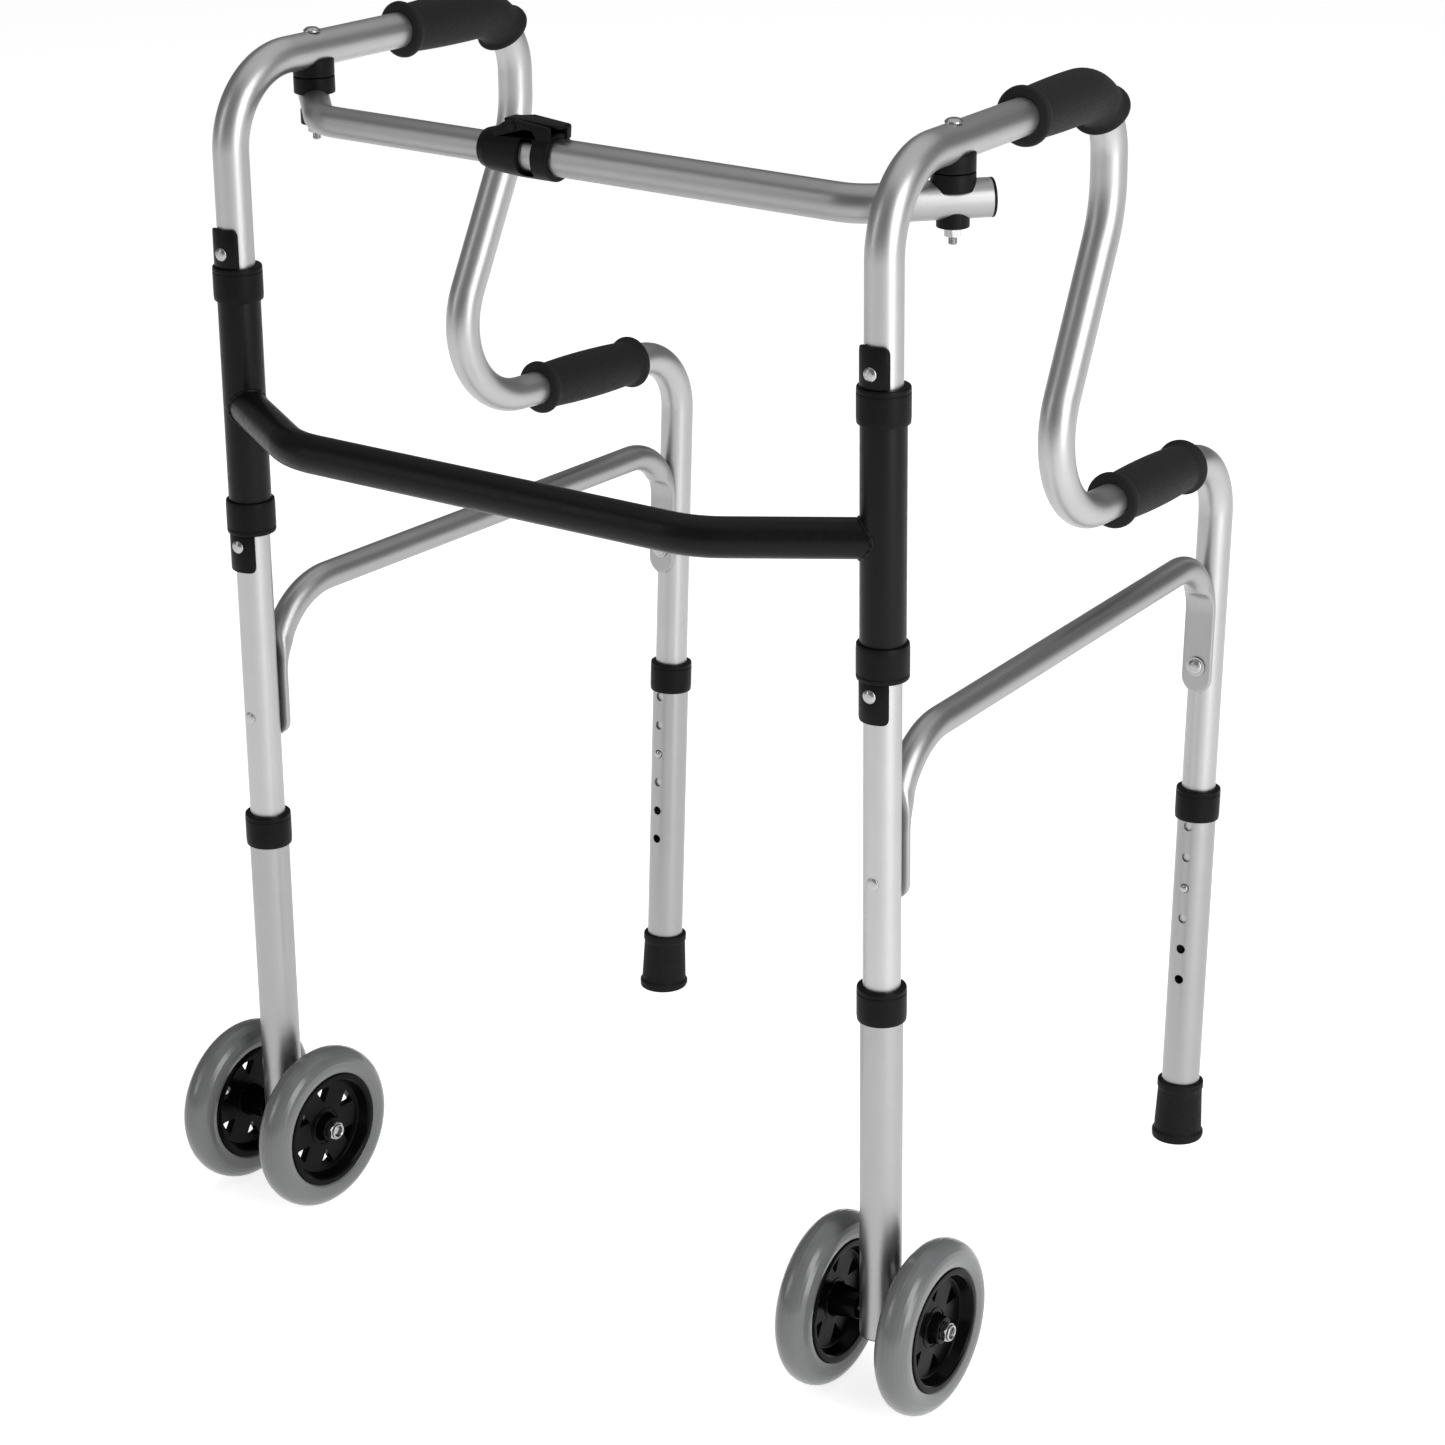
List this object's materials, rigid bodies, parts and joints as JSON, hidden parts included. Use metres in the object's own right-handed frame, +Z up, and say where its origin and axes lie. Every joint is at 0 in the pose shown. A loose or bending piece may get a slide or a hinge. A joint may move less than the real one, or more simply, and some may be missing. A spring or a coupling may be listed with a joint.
{
  "type": "walking frame",
  "caption": "Folding aluminium walking frame with two handle levels, telescoping upper bar, adjustable legs and paired front wheels.",
  "frame": {"origin": "on the floor under the middle of the whole outline", "axes": "+Z up; +Y back towards the person who walks behind the frame; +X that person's left side"},
  "size_m": [0.6704, 0.5874, 0.8953],
  "materials": {
    "aluminium_tube": "satin anodised",
    "black_powder_coat": "satin powder coat",
    "black_plastic": "moulded, slightly glossy",
    "grip_foam": "matt soft vinyl foam",
    "tip_rubber": "matt",
    "grey_tyre": "glossy solid polyurethane",
    "zinc_steel": "zinc plated"
  },
  "bodies": {
    "front_brace": {"front_cross_brace": "black_powder_coat", "left_upper_sleeve_collar": "black_plastic", "left_lower_sleeve_collar": "black_plastic", "right_upper_sleeve_collar": "black_plastic", "right_lower_sleeve_collar": "black_plastic"},
    "left_side": {"left_frame_tube": "aluminium_tube", "left_side_brace": "aluminium_tube", "left_upper_grip": "grip_foam", "left_lower_grip": "grip_foam", "left_upper_stop_clip": "black_plastic", "left_lower_stop_clip": "black_plastic", "left_brace_bolt": "zinc_steel", "left_frame_saddle": "black_plastic", "left_bar_bolt": "zinc_steel"},
    "left_front_leg": {"left_front_lower_leg": "aluminium_tube", "left_front_leg_collar": "black_plastic", "left_axle_bolt": "zinc_steel", "left_axle_nut": "zinc_steel"},
    "left_rear_leg": {"left_rear_lower_leg": "aluminium_tube", "left_rear_leg_collar": "black_plastic", "left_rear_tip": "tip_rubber"},
    "left_inner_wheel": {"left_inner_tyre": "grey_tyre", "left_inner_hub": "black_plastic"},
    "left_outer_wheel": {"left_outer_tyre": "grey_tyre", "left_outer_hub": "black_plastic"},
    "left_front_button": {"left_front_snap_button": "zinc_steel"},
    "left_rear_button": {"left_rear_snap_button": "zinc_steel"},
    "right_side": {"right_frame_tube": "aluminium_tube", "right_side_brace": "aluminium_tube", "right_upper_grip": "grip_foam", "right_lower_grip": "grip_foam", "right_upper_stop_clip": "black_plastic", "right_lower_stop_clip": "black_plastic", "right_brace_bolt": "zinc_steel", "right_frame_saddle": "black_plastic", "right_bar_bolt": "zinc_steel"},
    "right_front_leg": {"right_front_lower_leg": "aluminium_tube", "right_front_leg_collar": "black_plastic", "right_axle_bolt": "zinc_steel", "right_axle_nut": "zinc_steel"},
    "right_rear_leg": {"right_rear_lower_leg": "aluminium_tube", "right_rear_leg_collar": "black_plastic", "right_rear_tip": "tip_rubber"},
    "right_inner_wheel": {"right_inner_tyre": "grey_tyre", "right_inner_hub": "black_plastic"},
    "right_outer_wheel": {"right_outer_tyre": "grey_tyre", "right_outer_hub": "black_plastic"},
    "right_front_button": {"right_front_snap_button": "zinc_steel"},
    "right_rear_button": {"right_rear_snap_button": "zinc_steel"},
    "bar_pivot": {"left_bar_nut": "zinc_steel"},
    "thick_bar": {"upper_bar_thick_tube": "aluminium_tube", "latch_housing": "black_plastic", "left_bar_saddle": "black_plastic", "left_lower_saddle": "black_plastic"},
    "bar_plug": {"thin_bar_plug": "black_plastic"},
    "thin_bar": {"upper_bar_thin_tube": "aluminium_tube", "right_bar_saddle": "black_plastic", "right_lower_saddle": "black_plastic", "right_bar_bolt_end": "zinc_steel"},
    "lever": {"latch_lever": "black_plastic"}
  },
  "joints": [
    {"name": "left_fold", "type": "hinge", "parent": "front_brace", "child": "left_side", "pos_m": [0.27605, -0.21424, 0.636], "axis": [0, 0, 1], "range_deg": [0, 80]},
    {"name": "right_fold", "type": "hinge", "parent": "front_brace", "child": "right_side", "pos_m": [-0.27595, -0.21424, 0.636], "axis": [0, 0, 1], "range_deg": [-80, 0]},
    {"name": "left_front_height", "type": "slide", "parent": "left_side", "child": "left_front_leg", "axis": [0, 0, -1], "range_m": [-0.0508, 0.0508]},
    {"name": "left_rear_height", "type": "slide", "parent": "left_side", "child": "left_rear_leg", "axis": [0.0029, -0.0598, -0.9982], "range_m": [-0.0762, 0.0508]},
    {"name": "left_front_button_press", "type": "slide", "parent": "left_front_leg", "child": "left_front_button", "axis": [0.0489, -0.9988, 0], "range_m": [0, 0.003], "stiffness_N_per_m": 2000},
    {"name": "left_rear_button_press", "type": "slide", "parent": "left_rear_leg", "child": "left_rear_button", "axis": [-0.0488, 0.997, -0.0599], "range_m": [0, 0.003], "stiffness_N_per_m": 2000},
    {"name": "left_inner_wheel_spin", "type": "hinge", "parent": "left_front_leg", "child": "left_inner_wheel", "pos_m": [0.2361, -0.2162, 0.0635], "axis": [0.9988, 0.0489, 0], "continuous": true},
    {"name": "left_outer_wheel_spin", "type": "hinge", "parent": "left_front_leg", "child": "left_outer_wheel", "pos_m": [0.316, -0.21229, 0.0635], "axis": [0.9988, 0.0489, 0], "continuous": true},
    {"name": "right_front_height", "type": "slide", "parent": "right_side", "child": "right_front_leg", "axis": [0, 0, -1], "range_m": [-0.0508, 0.0508]},
    {"name": "right_rear_height", "type": "slide", "parent": "right_side", "child": "right_rear_leg", "axis": [-0.0029, -0.0598, -0.9982], "range_m": [-0.0762, 0.0508]},
    {"name": "right_front_button_press", "type": "slide", "parent": "right_front_leg", "child": "right_front_button", "axis": [-0.0489, -0.9988, 0], "range_m": [0, 0.003], "stiffness_N_per_m": 2000},
    {"name": "right_rear_button_press", "type": "slide", "parent": "right_rear_leg", "child": "right_rear_button", "axis": [0.0488, 0.997, -0.0599], "range_m": [0, 0.003], "stiffness_N_per_m": 2000},
    {"name": "right_inner_wheel_spin", "type": "hinge", "parent": "right_front_leg", "child": "right_inner_wheel", "pos_m": [-0.236, -0.2162, 0.0635], "axis": [0.9988, -0.0489, 0], "continuous": true},
    {"name": "right_outer_wheel_spin", "type": "hinge", "parent": "right_front_leg", "child": "right_outer_wheel", "pos_m": [-0.3159, -0.21229, 0.0635], "axis": [0.9988, -0.0489, 0], "continuous": true},
    {"name": "bar_pivot_turn", "type": "hinge", "parent": "left_side", "child": "bar_pivot", "pos_m": [0.27177, -0.12685, 0.84], "axis": [0, 0, 1], "range_deg": [-89.92, 0]},
    {"name": "bar_turn", "type": "hinge", "parent": "bar_pivot", "child": "thick_bar", "pos_m": [0.27177, -0.12685, 0.84], "axis": [0, 0, 1], "range_deg": [0, 9.92]},
    {"name": "bar_slide_right", "type": "slide", "parent": "thick_bar", "child": "bar_plug", "axis": [1, 0, 0], "range_m": [0, 0.0772]},
    {"name": "bar_slide_left", "type": "slide", "parent": "bar_plug", "child": "thin_bar", "axis": [1, 0, 0], "range_m": [0, 0.0772]},
    {"name": "latch_lift", "type": "hinge", "parent": "thick_bar", "child": "lever", "pos_m": [-0.04595, -0.17285, 0.86], "axis": [0, -1, 0], "range_deg": [0, 25], "stiffness_Nm_per_rad": 0.5}
  ],
  "couplings": [
    {"joint": "bar_pivot_turn", "follows": "left_fold", "ratio": -1.1177},
    {"joint": "bar_turn", "follows": "right_fold", "ratio": -0.11769},
    {"joint": "bar_slide_right", "follows": "right_fold", "m_per_rad": -0.054604},
    {"joint": "bar_slide_left", "follows": "left_fold", "m_per_rad": 0.054604}
  ]
}
